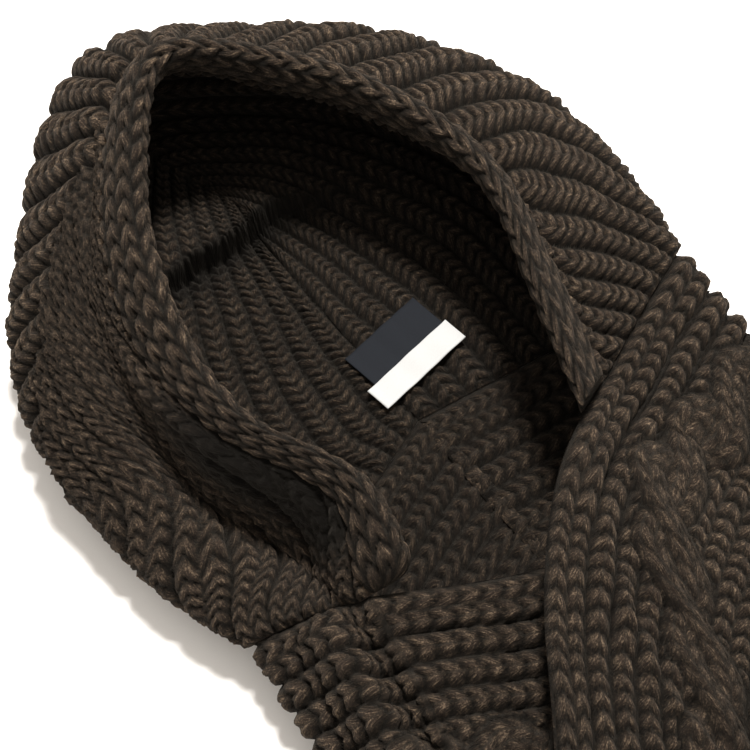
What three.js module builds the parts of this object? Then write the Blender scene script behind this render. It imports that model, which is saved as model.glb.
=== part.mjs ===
// A ribbed knit hood joined to a snood, lying on its back on a flat surface with the face
// opening up. Millimetres, +Z up, +Y from the neck to the crown, and the wearer's left at +X.
// Each wall is a sheet of knit with real thickness: a middle surface splined through a short
// table of sections, with an outer and an inner face on either side of it and ribs on both.
import * as THREE from "three";

// Driving sizes of the hood
const hoodWidth = 316; // side to side, as it lies
const hoodLength = 256; // back neck seam to the outside of the crown
const hoodHeight = 100; // surface to the middle of the face band at the crown
const backSeamLength = 134; // back neck seam to the top of the back seam
const hoodWall = 6; // thickness of the knit between its ribs
const hoodRibCount = 18; // ribs from the face band to the back seam, on each side
const hoodRibDepth = 1.8; // crest to groove, on each face
const hoodRows = 40; // sections along the face band, an even number
const tuckHeight = 9; // rise of the fold that lies across the inside of the crown
const tuckDepth = 62; // its length towards the crown
const tuckFront = 26; // length of its front, towards the neck
const tuckReach = 70; // it fades out over this much of the wearer's left side

// Driving sizes of the snood
const snoodHeight = 180; // neck seam to hem, along the knit
const snoodWall = 6;
const snoodRibsAbove = 5; // ribs between the neck seam and the cable panel
const snoodRibsBelow = 4; // ribs between the cable panel and the hem
const snoodRibDepth = 1.8;
const cableColumns = 4; // facets across the cable panel
const cableRise = 2.6; // height of the cable over the knit around it
const cableCrossing = 8; // sections from one crossing of the cable to the next
const slackRows = 18; // sections through the folded slack of the front, an even number

// Driving sizes of the face band and the labels
const bandWidth = 27; // the folded band round the face opening, across its section
const bandThickness = 13;
const bandSides = 8;
const seamGap = 0.9; // between two pieces that are sewn together
const mainLabelLength = 49;
const mainLabelWidth = 30;
const mainLabelThickness = 0.9;
const nameLabelLength = 56;
const nameLabelWidth = 14;
const nameLabelThickness = 0.7;
const labelTurn = 8; // degrees from square to the back seam
const labelOffset = 17; // middle of the labels from the back seam, towards the wearer's left
const mainLabelSetback = 35; // middle of the main label from the back neck seam
const nameLabelSetback = 22;
const labelGap = 0.3; // under each label

// Sections of the hood, from the wearer's right side of the neck over the crown to the left.
// x columns are shares of half the width, y columns of the length from the back neck seam, and
// z columns of the height. A section runs from the face edge down over the valley beside the
// band, over the shoulder to the widest point, and then to the surface and the back seam.
// shoulder lifts it between valley and side, seam is the share of the back seam where it ends,
// lean is the tilt of the face band from upright in degrees, and slant is the number of ribs
// that have run into the face band on the way up from the neck.
const hoodSections = [
  { seam: 0, slant: 3, lean: 48, shoulder: 0.02,
    edgeX: -0.49, edgeY: -0.3, edgeZ: 0.6, valleyX: -0.61, valleyY: -0.26, valleyZ: 0.43,
    sideX: -0.86, sideY: -0.2, sideZ: 0.27 },
  { seam: 0.13, slant: 3, lean: 52, shoulder: 0.1,
    edgeX: -0.46, edgeY: -0.12, edgeZ: 0.74, valleyX: -0.64, valleyY: -0.11, valleyZ: 0.44,
    sideX: -0.96, sideY: -0.02, sideZ: 0.28 },
  { seam: 0.25, slant: 3, lean: 50, shoulder: 0.12,
    edgeX: -0.61, edgeY: 0.1, edgeZ: 0.8, valleyX: -0.73, valleyY: 0.08, valleyZ: 0.5,
    sideX: -0.99, sideY: 0.19, sideZ: 0.29 },
  { seam: 0.38, slant: 3.5, lean: 45, shoulder: 0.1,
    edgeX: -0.58, edgeY: 0.32, edgeZ: 0.86, valleyX: -0.7, valleyY: 0.32, valleyZ: 0.64,
    sideX: -0.96, sideY: 0.42, sideZ: 0.32 },
  { seam: 0.54, slant: 5, lean: 42, shoulder: 0.06,
    edgeX: -0.42, edgeY: 0.55, edgeZ: 0.93, valleyX: -0.53, valleyY: 0.59, valleyZ: 0.76,
    sideX: -0.735, sideY: 0.655, sideZ: 0.38 },
  { seam: 1, slant: 9.5, lean: 28, shoulder: 0.05,
    edgeX: -0.07, edgeY: 0.76, edgeZ: 0.98, valleyX: -0.08, valleyY: 0.83, valleyZ: 0.82,
    sideX: -0.14, sideY: 0.965, sideZ: 0.44 },
  { seam: 0.75, slant: 7.3, lean: 14, shoulder: 0.05,
    edgeX: 0.26, edgeY: 0.57, edgeZ: 0.91, valleyX: 0.33, valleyY: 0.64, valleyZ: 0.74,
    sideX: 0.46, sideY: 0.785, sideZ: 0.44 },
  { seam: 0.5, slant: 4.5, lean: 16, shoulder: 0.05,
    edgeX: 0.46, edgeY: 0.39, edgeZ: 0.87, valleyX: 0.56, valleyY: 0.44, valleyZ: 0.7,
    sideX: 0.78, sideY: 0.585, sideZ: 0.43 },
  { seam: 0.33, slant: 2.5, lean: 30, shoulder: 0.06,
    edgeX: 0.52, edgeY: 0.19, edgeZ: 0.86, valleyX: 0.64, valleyY: 0.22, valleyZ: 0.69,
    sideX: 0.955, sideY: 0.35, sideZ: 0.42 },
  { seam: 0.17, slant: 1, lean: 44, shoulder: 0.08,
    edgeX: 0.42, edgeY: -0.03, edgeZ: 0.84, valleyX: 0.56, valleyY: -0.01, valleyZ: 0.67,
    sideX: 0.965, sideY: 0.11, sideZ: 0.42 },
  { seam: 0, slant: 0, lean: 50, shoulder: 0.03,
    edgeX: 0.32, edgeY: -0.25, edgeZ: 0.72, valleyX: 0.46, valleyY: -0.21, valleyZ: 0.57,
    sideX: 0.92, sideY: -0.08, sideZ: 0.4 },
];
const footInset = 0.13; // where a section meets the surface, as a share of the way to the seam

// Sections of the snood that hang from the neck seam, from the wearer's right round the back to
// the left. place runs from 0 to 1 along the neck seam, and hemX to hemZ give the hem: x as a
// share of half the hood's width, y of the snood's height from the back neck seam, and z of the
// hood's height. bulge lifts the middle of the section, as a share of the hood's height.
const sewnSections = [
  { place: 0, hemX: -0.77, hemY: -1.4, hemZ: 0.24, bulge: 0.06 },
  { place: 0.12, hemX: -0.95, hemY: -1.33, hemZ: 0.22, bulge: 0.04 },
  { place: 0.22, hemX: -1.03, hemY: -1.25, hemZ: 0.14, bulge: 0.02 },
  { place: 0.3, hemX: -0.92, hemY: -1.19, hemZ: 0.03, bulge: 0 },
  { place: 0.4, hemX: -0.5, hemY: -1.12, hemZ: 0.03, bulge: 0 },
  { place: 0.5, hemX: 0, hemY: -1.07, hemZ: 0.03, bulge: 0 },
  { place: 0.6, hemX: 0.45, hemY: -1.08, hemZ: 0.03, bulge: 0 },
  { place: 0.7, hemX: 0.71, hemY: -1.1, hemZ: 0.03, bulge: 0 },
  { place: 0.78, hemX: 0.82, hemY: -1.13, hemZ: 0.15, bulge: 0.02 },
  { place: 0.88, hemX: 0.8, hemY: -1.22, hemZ: 0.32, bulge: 0.06 },
  { place: 1, hemX: 0.64, hemY: -1.33, hemZ: 0.37, bulge: 0.05 },
];

// Sections through the slack of the snood's front, from the wearer's left to the right. It lies
// in a flat pleat: an upper layer, a middle one that turns back, and a lower one. neckX to neckZ
// give the free neck edge in the same shares as the hem.
const slackSections = [
  { neckX: 0.14, neckY: -0.44, neckZ: 0.73, hemX: 0.5, hemY: -1.38, hemZ: 0.37, bulge: 0.03 },
  { neckX: -0.05, neckY: -0.57, neckZ: 0.76, hemX: 0.37, hemY: -1.44, hemZ: 0.37, bulge: 0 },
  { neckX: -0.23, neckY: -0.74, neckZ: 0.76, hemX: 0.24, hemY: -1.53, hemZ: 0.38, bulge: 0 },
  { neckX: -0.4, neckY: -0.95, neckZ: 0.72, hemX: 0.09, hemY: -1.66, hemZ: 0.38, bulge: 0 },
  { neckX: -0.53, neckY: -1.11, neckZ: 0.64, hemX: -0.05, hemY: -1.79, hemZ: 0.32, bulge: 0 },
  { neckX: -0.42, neckY: -0.97, neckZ: 0.56, hemX: -0.12, hemY: -1.74, hemZ: 0.25, bulge: 0 },
  { neckX: -0.12, neckY: -0.8, neckZ: 0.59, hemX: -0.2, hemY: -1.66, hemZ: 0.23, bulge: 0 },
  { neckX: 0.13, neckY: -0.69, neckZ: 0.53, hemX: -0.27, hemY: -1.6, hemZ: 0.17, bulge: 0 },
  { neckX: 0.02, neckY: -0.65, neckZ: 0.46, hemX: -0.36, hemY: -1.55, hemZ: 0.11, bulge: 0 },
  { neckX: -0.22, neckY: -0.57, neckZ: 0.5, hemX: -0.55, hemY: -1.48, hemZ: 0.14, bulge: 0.03 },
];
const seamReach = 0.22; // how far a section keeps the direction of the hood's wall at the seam

const halfWidth = hoodWidth / 2;
const up = new THREE.Vector3(0, 0, 1);

// A smooth curve through one column of a table, evaluated at a fraction of its length
function column(rows, key) {
  const values = rows.map((row) => row[key]);
  const last = values.length - 1;
  return (share) => {
    const place = THREE.MathUtils.clamp(share, 0, 1) * last;
    const i = Math.min(Math.floor(place), last - 1);
    const before = values[Math.max(i - 1, 0)];
    const after = values[Math.min(i + 2, last)];
    return catmullRom(before, values[i], values[i + 1], after, place - i);
  };
}

function catmullRom(a, b, c, d, t) {
  const slopeB = (c - a) / 2;
  const slopeC = (d - b) / 2;
  const rise = b - c;
  return b + t * (slopeB + t * (-3 * rise - 2 * slopeB - slopeC + t * (2 * rise + slopeB + slopeC)));
}

// Fraction of a table where a rising or falling column takes a value, between two of its rows
function locate(rows, key, value, from, to) {
  for (let i = from; i < to; i += 1) {
    const a = rows[i][key];
    const b = rows[i + 1][key];
    const inside = (value - a) * (value - b) <= 0;
    if (inside && a !== b) return (i + (value - a) / (b - a)) / (rows.length - 1);
  }
  return to / (rows.length - 1);
}

// Triangles of one closed body, with shared vertices and named grids of them
class Body {
  constructor() {
    this.points = [];
    this.faces = [];
  }

  add(point) {
    this.points.push(point);
    return this.points.length - 1;
  }

  quad(a, b, c, d, turned = false) {
    if (turned) this.faces.push([a, b, d], [b, c, d]);
    else this.faces.push([a, b, c], [a, c, d]);
  }

  mesh(name, material) {
    const geometry = new THREE.BufferGeometry();
    const positions = this.points.flatMap((point) => point.toArray());
    geometry.setAttribute("position", new THREE.Float32BufferAttribute(positions, 3));
    geometry.setIndex(this.faces.flat());
    geometry.computeVertexNormals();
    const mesh = new THREE.Mesh(geometry, material);
    mesh.name = name;
    return mesh;
  }
}

// Unit normals of a grid of points, with the neighbours of each point given by a function
function gridNormals(grid, neighbour) {
  return grid.map((row, i) => row.map((_, j) => {
    const along = neighbour(i + 1, j).clone().sub(neighbour(i - 1, j));
    const across = neighbour(i, j + 1).clone().sub(neighbour(i, j - 1));
    return along.cross(across).normalize();
  }));
}

const spineStart = new THREE.Vector3(0, 0, hoodWall / 2);

function columnsOf(rows, keys) {
  return Object.fromEntries(keys.map((key) => [key, column(rows, key)]));
}

const hoodColumns = columnsOf(hoodSections, Object.keys(hoodSections[0]));

// Edge, valley or side of the hood's section at a fraction of the table
function hoodPoint(part, share) {
  return new THREE.Vector3(
    hoodColumns[`${part}X`](share) * halfWidth,
    hoodColumns[`${part}Y`](share) * hoodLength,
    hoodColumns[`${part}Z`](share) * hoodHeight,
  );
}

// Middle, width axis and thickness axis of the face band's section
function bandFrame(share) {
  const middle = hoodPoint("edge", share);
  const inward = middle.clone().sub(hoodPoint("side", share)).setZ(0).normalize();
  const lean = THREE.MathUtils.degToRad(hoodColumns.lean(share));
  const widthAxis = up.clone().multiplyScalar(Math.cos(lean)).addScaledVector(inward, Math.sin(lean));
  const thicknessAxis = up.clone().multiplyScalar(Math.sin(lean)).addScaledVector(inward, -Math.cos(lean));
  return { middle, widthAxis, thicknessAxis };
}

// Middle line of the hood's wall at one section, in steps of equal length
function hoodSection(share, seamShare, steps) {
  const { middle, widthAxis } = bandFrame(share);
  const edge = middle.addScaledVector(widthAxis, -(bandWidth / 2 + seamGap));
  const root = edge.clone().addScaledVector(widthAxis, -hoodWall);
  const valley = hoodPoint("valley", share);
  const side = hoodPoint("side", share);
  const shoulder = valley.clone().lerp(side, 0.5);
  shoulder.z += hoodColumns.shoulder(share) * hoodHeight;
  const spine = spineStart.clone();
  spine.y += seamShare * backSeamLength;
  const foot = side.clone().lerp(spine, footInset).setZ(hoodWall / 2);
  const floor = foot.clone().lerp(spine, 0.4);
  const line = [edge, root, valley, shoulder, side, foot, floor, spine];
  const curve = new THREE.CatmullRomCurve3(line, false, "centripetal");
  return curve.getSpacedPoints(steps);
}

const hoodColumnsAcross = 2 * hoodRibCount;
const crownRow = hoodSections.findIndex((section) => section.seam === 1);

// Fraction of the table for each row of the hood, at even steps along the back seam
const hoodShares = Array.from({ length: hoodRows + 1 }, (_, i) => {
  const half = hoodRows / 2;
  if (i <= half) return locate(hoodSections, "seam", i / half, 0, crownRow);
  return locate(hoodSections, "seam", (hoodRows - i) / half, crownRow, hoodSections.length - 1);
});

// Both halves end on the back seam, where they share their points
const hoodGrid = hoodShares.map((share, i) => {
  const seamShare = Math.min(i, hoodRows - i) / (hoodRows / 2);
  return hoodSection(share, seamShare, hoodColumnsAcross);
});

function hoodNeighbour(i, j) {
  if (j > hoodColumnsAcross) return hoodGrid[hoodRows - i][hoodColumnsAcross - 1];
  return hoodGrid[THREE.MathUtils.clamp(i, 0, hoodRows)][Math.max(j, 0)];
}

const hoodNormals = gridNormals(hoodGrid, hoodNeighbour);
const crown = hoodRows / 2;
hoodNormals.forEach((row, i) => {
  row[0].copy(bandFrame(hoodShares[i]).thicknessAxis);
  row[hoodColumnsAcross].set(0, 0, -1);
});

// Rise of the fold across the inside of the crown over the knit under it
function tuckRise(point) {
  const { smoothstep } = THREE.MathUtils;
  const past = point.y - backSeamLength;
  const front = smoothstep(past, -tuckFront, 0);
  const back = 1 - smoothstep(past, 0, tuckDepth);
  const side = 1 - smoothstep(point.x, 0, tuckReach);
  const wall = 1 - smoothstep(point.z, hoodWall, hoodHeight / 4);
  return tuckHeight * front * back * side * wall;
}

// How much of its relief the outside keeps, which is none where it rests on the surface
function outsideRelief(point) {
  return THREE.MathUtils.smoothstep(point.z, hoodWall / 2 + 1, hoodWall / 2 + 9);
}

function faceAt(middle, normal, distance) {
  const point = middle.clone().addScaledVector(normal, distance);
  point.z = Math.max(point.z, 0);
  return point;
}

// Half-ribs by which the outer ribs are shifted at each row, one at most from row to row
const ribShifts = hoodShares.reduce((shifts, share, i) => {
  const wanted = Math.round(2 * hoodColumns.slant(share));
  if (i === 0) return [wanted];
  return [...shifts, THREE.MathUtils.clamp(wanted, shifts[i - 1] - 1, shifts[i - 1] + 1)];
}, []);

function hoodShell(material) {
  const body = new Body();
  const outer = [];
  const inner = [];
  hoodGrid.forEach((row, i) => {
    outer.push([]);
    inner.push([]);
    row.forEach((middle, j) => {
      const shared = j === hoodColumnsAcross && i > crown;
      if (shared) {
        outer[i].push(outer[hoodRows - i][j]);
        inner[i].push(inner[hoodRows - i][j]);
        return;
      }
      const normal = hoodNormals[i][j];
      const outerCrest = Math.abs(j + ribShifts[i]) % 2 === 1 && j > 0;
      const innerCrest = j % 2 === 1;
      const outerRise = outerCrest ? hoodRibDepth * outsideRelief(middle) : 0;
      const innerRise = (innerCrest ? hoodRibDepth : 0) + tuckRise(middle);
      outer[i].push(body.add(faceAt(middle, normal, hoodWall / 2 + outerRise)));
      inner[i].push(body.add(faceAt(middle, normal, -(hoodWall / 2 + innerRise))));
    });
  });
  const last = hoodColumnsAcross;
  for (let i = 0; i < hoodRows; i += 1) {
    const turned = ribShifts[i + 1] > ribShifts[i];
    for (let j = 0; j < last; j += 1) {
      body.quad(outer[i][j], outer[i + 1][j], outer[i + 1][j + 1], outer[i][j + 1], turned);
      body.quad(inner[i][j], inner[i][j + 1], inner[i + 1][j + 1], inner[i + 1][j]);
    }
    body.quad(outer[i + 1][0], outer[i][0], inner[i][0], inner[i + 1][0]);
  }
  for (let j = 0; j < last; j += 1) {
    body.quad(outer[0][j], outer[0][j + 1], inner[0][j + 1], inner[0][j]);
    body.quad(outer[hoodRows][j + 1], outer[hoodRows][j], inner[hoodRows][j], inner[hoodRows][j + 1]);
  }
  return body.mesh("hood_shell", material);
}

// The folded band round the face opening, a flattened ring with a plain end at each side
function faceBand(material) {
  const body = new Body();
  const bandFlat = Math.cos(Math.PI / bandSides); // so that the flats keep the stated sizes
  const rings = hoodShares.map((share) => {
    const { middle, widthAxis, thicknessAxis } = bandFrame(share);
    return Array.from({ length: bandSides }, (_, k) => {
      const angle = (2 * Math.PI * (k + 0.5)) / bandSides;
      const point = middle.clone();
      point.addScaledVector(widthAxis, (bandWidth / 2) * (Math.cos(angle) / bandFlat));
      point.addScaledVector(thicknessAxis, (bandThickness / 2) * (Math.sin(angle) / bandFlat));
      return body.add(point);
    });
  });
  for (let i = 0; i < hoodRows; i += 1) {
    for (let k = 0; k < bandSides; k += 1) {
      const next = (k + 1) % bandSides;
      body.quad(rings[i][k], rings[i + 1][k], rings[i + 1][next], rings[i][next]);
    }
  }
  const first = rings[0];
  const final = rings[hoodRows];
  for (let k = 1; k < bandSides - 1; k += 1) {
    body.faces.push([first[0], first[k], first[k + 1]]);
    body.faces.push([final[0], final[k + 1], final[k]]);
  }
  return body.mesh("face_band", material);
}

// Columns of the hood's neck edge where a section of the snood starts: every second one, and
// each one in the sharp bend beside the face band
const sewnColumns = [0, 1, ...Array.from({ length: hoodRibCount }, (_, rib) => 2 * rib + 2)];

// Neck edge of the hood from the wearer's right to the left
const neckEdge = [
  ...sewnColumns.map((j) => ({ i: 0, beside: 1, j, place: j / (2 * hoodColumnsAcross) })),
  ...sewnColumns.slice(0, -1).reverse().map((j) => (
    { i: hoodRows, beside: hoodRows - 1, j, place: 1 - j / (2 * hoodColumnsAcross) })),
];

// Start of a section of the snood, and the direction in which the hood's wall runs on into it
function sewnStart({ i, beside, j }) {
  const point = hoodGrid[i][j];
  const onward = point.clone().sub(hoodGrid[beside][j]);
  const edgeBefore = hoodGrid[i][Math.max(j - 1, 0)];
  const edgeAfter = hoodGrid[i][Math.min(j + 1, hoodColumnsAcross)];
  const along = edgeAfter.clone().sub(edgeBefore).normalize();
  onward.addScaledVector(along, -onward.dot(along)).normalize();
  return { neck: point.clone().addScaledVector(onward, seamGap), onward };
}

function sharePoint(columns, part, share) {
  return new THREE.Vector3(
    columns[`${part}X`](share) * halfWidth,
    columns[`${part}Y`](share) * snoodHeight,
    columns[`${part}Z`](share) * hoodHeight,
  );
}

// Middle line of the snood's wall from its neck edge to its hem
function snoodSection(neck, onward, hem, bulge, steps) {
  const reach = neck.distanceTo(hem) * seamReach;
  const first = neck.clone().addScaledVector(onward, reach);
  const second = hem.clone().lerp(neck, 0.35);
  second.z += bulge * hoodHeight;
  first.z = Math.max(first.z + bulge * hoodHeight, snoodWall / 2);
  const curve = new THREE.CubicBezierCurve3(neck, first, second, hem);
  return curve.getSpacedPoints(steps);
}

const snoodColumns = 2 * snoodRibsAbove + cableColumns + 2 * snoodRibsBelow;

function snoodGrid() {
  const sewn = columnsOf(sewnSections, ["hemX", "hemY", "hemZ", "bulge"]);
  const sewnRows = neckEdge.map((edge) => {
    const share = locate(sewnSections, "place", edge.place, 0, sewnSections.length - 1);
    const { neck, onward } = sewnStart(edge);
    return snoodSection(neck, onward, sharePoint(sewn, "hem", share), sewn.bulge(share), snoodColumns);
  });
  const ends = [sewnSections[sewnSections.length - 1], sewnSections[0]];
  const edges = [neckEdge[neckEdge.length - 1], neckEdge[0]].map(sewnStart);
  const asShares = ({ neck }) => ({
    neckX: neck.x / halfWidth,
    neckY: neck.y / snoodHeight,
    neckZ: neck.z / hoodHeight,
  });
  const rows = [
    { ...asShares(edges[0]), ...ends[0] },
    ...slackSections,
    { ...asShares(edges[1]), ...ends[1] },
  ];
  const slack = columnsOf(rows, ["neckX", "neckY", "neckZ", "hemX", "hemY", "hemZ", "bulge"]);
  const slackGrid = Array.from({ length: slackRows - 1 }, (_, k) => {
    const share = (k + 1) / slackRows;
    const neck = sharePoint(slack, "neck", share);
    const hem = sharePoint(slack, "hem", share);
    const nearEnd = Math.max(0, 1 - Math.min(k + 1, slackRows - k - 1) / 3);
    const edge = k < slackRows / 2 ? edges[0] : edges[1];
    const onward = hem.clone().sub(neck).normalize().lerp(edge.onward, nearEnd).normalize();
    return snoodSection(neck, onward, hem, slack.bulge(share), snoodColumns);
  });
  return [...sewnRows, ...slackGrid];
}

// Relief of the snood at a section and a column: ribs, and one rope cable between them
function snoodRelief(i, j) {
  const cableStart = 2 * snoodRibsAbove;
  const cableEnd = cableStart + cableColumns;
  if (j <= cableStart) return j % 2 === 1 ? snoodRibDepth : 0;
  if (j >= cableEnd) return (j - cableEnd) % 2 === 1 ? snoodRibDepth : 0;
  const across = (j - cableStart) / cableColumns - 0.5;
  const twist = Math.cos(2 * Math.PI * (i / cableCrossing - across));
  return cableRise * (0.5 + 0.5 * twist);
}

function snood(material) {
  const body = new Body();
  const grid = snoodGrid();
  const count = grid.length;
  const clampColumn = (j) => THREE.MathUtils.clamp(j, 0, snoodColumns);
  const normals = gridNormals(grid, (i, j) => grid[(i + count) % count][clampColumn(j)]);
  neckEdge.forEach(({ i, j }, k) => normals[k][0].copy(hoodNormals[i][j]));
  const outer = [];
  const inner = [];
  grid.forEach((row, i) => {
    outer.push([]);
    inner.push([]);
    row.forEach((middle, j) => {
      const relief = snoodRelief(i, j);
      const outerRise = relief * outsideRelief(middle);
      outer[i].push(body.add(faceAt(middle, normals[i][j], snoodWall / 2 + outerRise)));
      inner[i].push(body.add(faceAt(middle, normals[i][j], -(snoodWall / 2 + relief / 2))));
    });
  });
  for (let i = 0; i < count; i += 1) {
    const next = (i + 1) % count;
    for (let j = 0; j < snoodColumns; j += 1) {
      body.quad(outer[i][j], outer[next][j], outer[next][j + 1], outer[i][j + 1]);
      body.quad(inner[i][j], inner[i][j + 1], inner[next][j + 1], inner[next][j]);
    }
    const hem = snoodColumns;
    body.quad(outer[next][0], outer[i][0], inner[i][0], inner[next][0], true);
    body.quad(outer[i][hem], outer[next][hem], inner[next][hem], inner[i][hem]);
  }
  return body.mesh("snood", material);
}

// A woven label, laid flat on the crests of the hood's inner ribs or on the label under it
function label(name, length, width, thickness, setback, lift, material) {
  const mesh = new THREE.Mesh(new THREE.BoxGeometry(length, width, thickness), material);
  const crest = hoodWall + hoodRibDepth;
  mesh.position.set(labelOffset, setback, crest + lift + thickness / 2);
  mesh.rotation.z = THREE.MathUtils.degToRad(labelTurn);
  mesh.name = name;
  return mesh;
}

const knit = new THREE.MeshStandardMaterial({ color: 0x453a30, roughness: 0.95, metalness: 0 });
const bandKnit = new THREE.MeshStandardMaterial({ color: 0x4e4236, roughness: 0.95, metalness: 0 });
const snoodKnit = new THREE.MeshStandardMaterial({ color: 0x40362d, roughness: 0.95, metalness: 0 });
const blackWoven = new THREE.MeshStandardMaterial({ color: 0x1d2128, roughness: 0.7, metalness: 0 });
const whiteWoven = new THREE.MeshStandardMaterial({ color: 0xe9e9e7, roughness: 0.6, metalness: 0 });

const hood = new THREE.Group();
hood.add(hoodShell(knit));
hood.add(faceBand(bandKnit));
hood.add(snood(snoodKnit));
const nameLabelLift = mainLabelThickness + 2 * labelGap;
hood.add(label("main_label", mainLabelLength, mainLabelWidth, mainLabelThickness,
  mainLabelSetback, labelGap, blackWoven));
hood.add(label("name_label", nameLabelLength, nameLabelWidth, nameLabelThickness,
  nameLabelSetback, nameLabelLift, whiteWoven));

// The origin is on the surface, under the middle of the whole piece
const box = new THREE.Box3().setFromObject(hood);
const centre = box.getCenter(new THREE.Vector3());
hood.position.set(-centre.x, -centre.y, -box.min.z);

export default hood;
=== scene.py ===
# A chunky knit hood and snood, lying on its back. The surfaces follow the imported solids, and the
# stitches, ribs and cable are raised on them. Lengths are in millimetres until a mesh is made.
import math
import bmesh
import bpy
import numpy as np
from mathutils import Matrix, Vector


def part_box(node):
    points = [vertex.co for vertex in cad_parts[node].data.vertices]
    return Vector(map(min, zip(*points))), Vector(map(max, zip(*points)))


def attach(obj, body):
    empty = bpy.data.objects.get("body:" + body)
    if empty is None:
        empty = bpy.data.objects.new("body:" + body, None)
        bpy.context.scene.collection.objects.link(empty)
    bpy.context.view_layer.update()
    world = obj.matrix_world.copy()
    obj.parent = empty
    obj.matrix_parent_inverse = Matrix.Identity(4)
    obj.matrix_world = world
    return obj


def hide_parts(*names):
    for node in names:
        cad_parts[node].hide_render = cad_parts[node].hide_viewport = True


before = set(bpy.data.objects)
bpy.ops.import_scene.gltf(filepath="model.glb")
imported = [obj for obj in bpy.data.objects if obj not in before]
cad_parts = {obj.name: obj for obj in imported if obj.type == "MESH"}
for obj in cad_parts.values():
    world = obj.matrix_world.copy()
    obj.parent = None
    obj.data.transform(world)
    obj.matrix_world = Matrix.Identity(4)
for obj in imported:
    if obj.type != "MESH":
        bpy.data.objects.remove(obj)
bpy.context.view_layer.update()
print("frame loaded")

toMetres = 0.001
draws = np.random.default_rng(7)

hood = {
    # the same driving sizes as the solid has
    "width": 316, "length": 256, "height": 100, "backSeam": 134, "wall": 6, "columns": 18,
    "footInset": 0.13, "floorShare": 0.4, "solidRows": 40,
    # the knit on both faces, the painted shade over the inside, and the edges where they meet
    "outsideCrest": 5.8, "outsideGroove": -0.4, "insideCrest": 5, "insideGroove": 0.2,
    "stitchPitch": 6.7, "insideShade": 0.75, "underBand": 4, "inSeam": 0.4,
    "neckThin": 0.35, "neckThinShare": 0.009, "restsFrom": 1, "restsTo": 9,
    # the fold across the inside of the crown, and the painted shade in the gap in front of it
    "tuckRise": 16, "tuckFront": 4, "tuckDepth": 66, "tuckReach": 70, "tuckWander": 3,
    "gapWidth": 4, "gapBack": (-2, 3), "gapShade": 0.9,
    # where the upright ribs meet the others, with painted shade along the crease and in their dark
    # pocket, in sections of the table below
    "creaseAtBand": 4.6, "creaseAtSide": 2.76, "scallop": 0.1, "creaseLift": 3, "creaseFade": 0.2,
    "creaseShade": 0.7, "creaseShadeFade": 0.06,
    "pairDepth": 0.25, "pairEase": 0.5, "pairEaseAt": (1.3, 2.2),
    "pocketShade": 0.95, "pocketFrom": (0.35, 0.8), "pocketTo": (1.7, 2.8), "pocketOut": (0.15, 0.42),
    # the meshes
    "rowsAlong": 720, "denseAcross": 116, "denseShare": 0.5, "plainAcross": 12, "insideAcross": 230,
    "coarseAlong": 241, "coarseAcross": 73, "coarseOffset": 3,
}
band = {
    "width": 27, "thickness": 13, "gap": 0.9, "squared": 2.6,  # 2 is an ellipse, more is a box
    "narrowBy": 10, "narrowFrom": 0.3, "narrowFull": 0.9, "narrowTo": 1.9, "narrowEnd": 3.2,
    "endRound": 9, "columns": 7, "stitchPitch": 12.5, "crest": 1.9, "groove": 0.6,
    "slope": 0.55, "steady": 0.4, "lump": 1.3, "around": 60,
}
labels = {
    "main_label": {"length": 49, "width": 30, "thickness": 0.9, "setback": 35},
    "name_label": {"length": 56, "width": 14, "thickness": 0.7, "setback": 22},
    "turn": 8, "offset": 17, "wave": 0.25, "clear": 0.35, "stepsAlong": 48, "stepsAcross": 20,
}

# One row for each section: seam, lean and shoulder, then edge, valley and side as shares of the
# driving sizes, from the wearer's right side of the neck over the crown to the left
hoodColumns = "seam lean shoulder edgeX edgeY edgeZ valleyX valleyY valleyZ sideX sideY sideZ".split()
hoodTable = np.array([
    (0, 48, .02, -.49, -.3, .6, -.61, -.26, .43, -.86, -.2, .27),
    (.13, 52, .1, -.46, -.12, .74, -.62, -.11, .29, -.96, -.02, .28),
    (.25, 50, .12, -.61, .1, .8, -.71, .08, .33, -.99, .19, .29),
    (.38, 45, .1, -.58, .32, .86, -.7, .32, .6, -.96, .42, .32),
    (.54, 42, .06, -.42, .55, .93, -.53, .59, .76, -.735, .655, .38),
    (1, 28, .05, -.07, .76, .98, -.08, .83, .82, -.14, .965, .44),
    (.75, 14, .05, .275, .592, .91, .33, .64, .74, .46, .785, .44),
    (.5, 16, .05, .46, .39, .87, .56, .44, .7, .78, .585, .43),
    (.33, 30, .06, .52, .19, .86, .64, .22, .69, .955, .35, .42),
    (.17, 44, .08, .42, -.03, .84, .56, -.01, .67, .965, .11, .42),
    (0, 50, .03, .32, -.25, .72, .46, -.21, .57, .92, -.08, .4),
])
crownSection = 5

# How far across the widest point is, then the numbers of the ribs at the band and there: of the
# ribs that sweep round the crown, and of those that stand on the neck at the wearer's right
ribTable = np.array([
    (.28, -14.2, -12.4, 6.4, 2.05),
    (.35, -10.2, -8.4, 5.15, 1.35),
    (.31, -6.2, -4.5, 4.6, .2),
    (.28, -2.05, -.73, 5.2, -.4),
    (.29, 2.32, 2.83, 6.4, -3.6),
    (.32, 8.36, 7.27, 7.4, -7),
    (.33, 13.7, 11.2, 9, -11),
    (.32, 16, 13.6, 11, -15),
    (.31, 18.35, 15.5, 13, -19),
    (.33, 21.25, 16.7, 15, -23),
    (.36, 25.25, 18.35, 17, -27),
])

labelLow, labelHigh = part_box("main_label")
labelMiddle = np.array((labelLow + labelHigh) / 2) / toMetres
shift = np.array([
    labelMiddle[0] - labels["offset"], labelMiddle[1] - labels["main_label"]["setback"], 0])


def smoothstep(x, low, high):
    t = np.clip((x - low) / (high - low), 0, 1)
    return t * t * (3 - 2 * t)


def unit(vectors):
    return vectors / np.maximum(np.linalg.norm(vectors, axis=-1, keepdims=True), 1e-9)


def mix(a, b, share):
    return a + (b - a) * share


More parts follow.
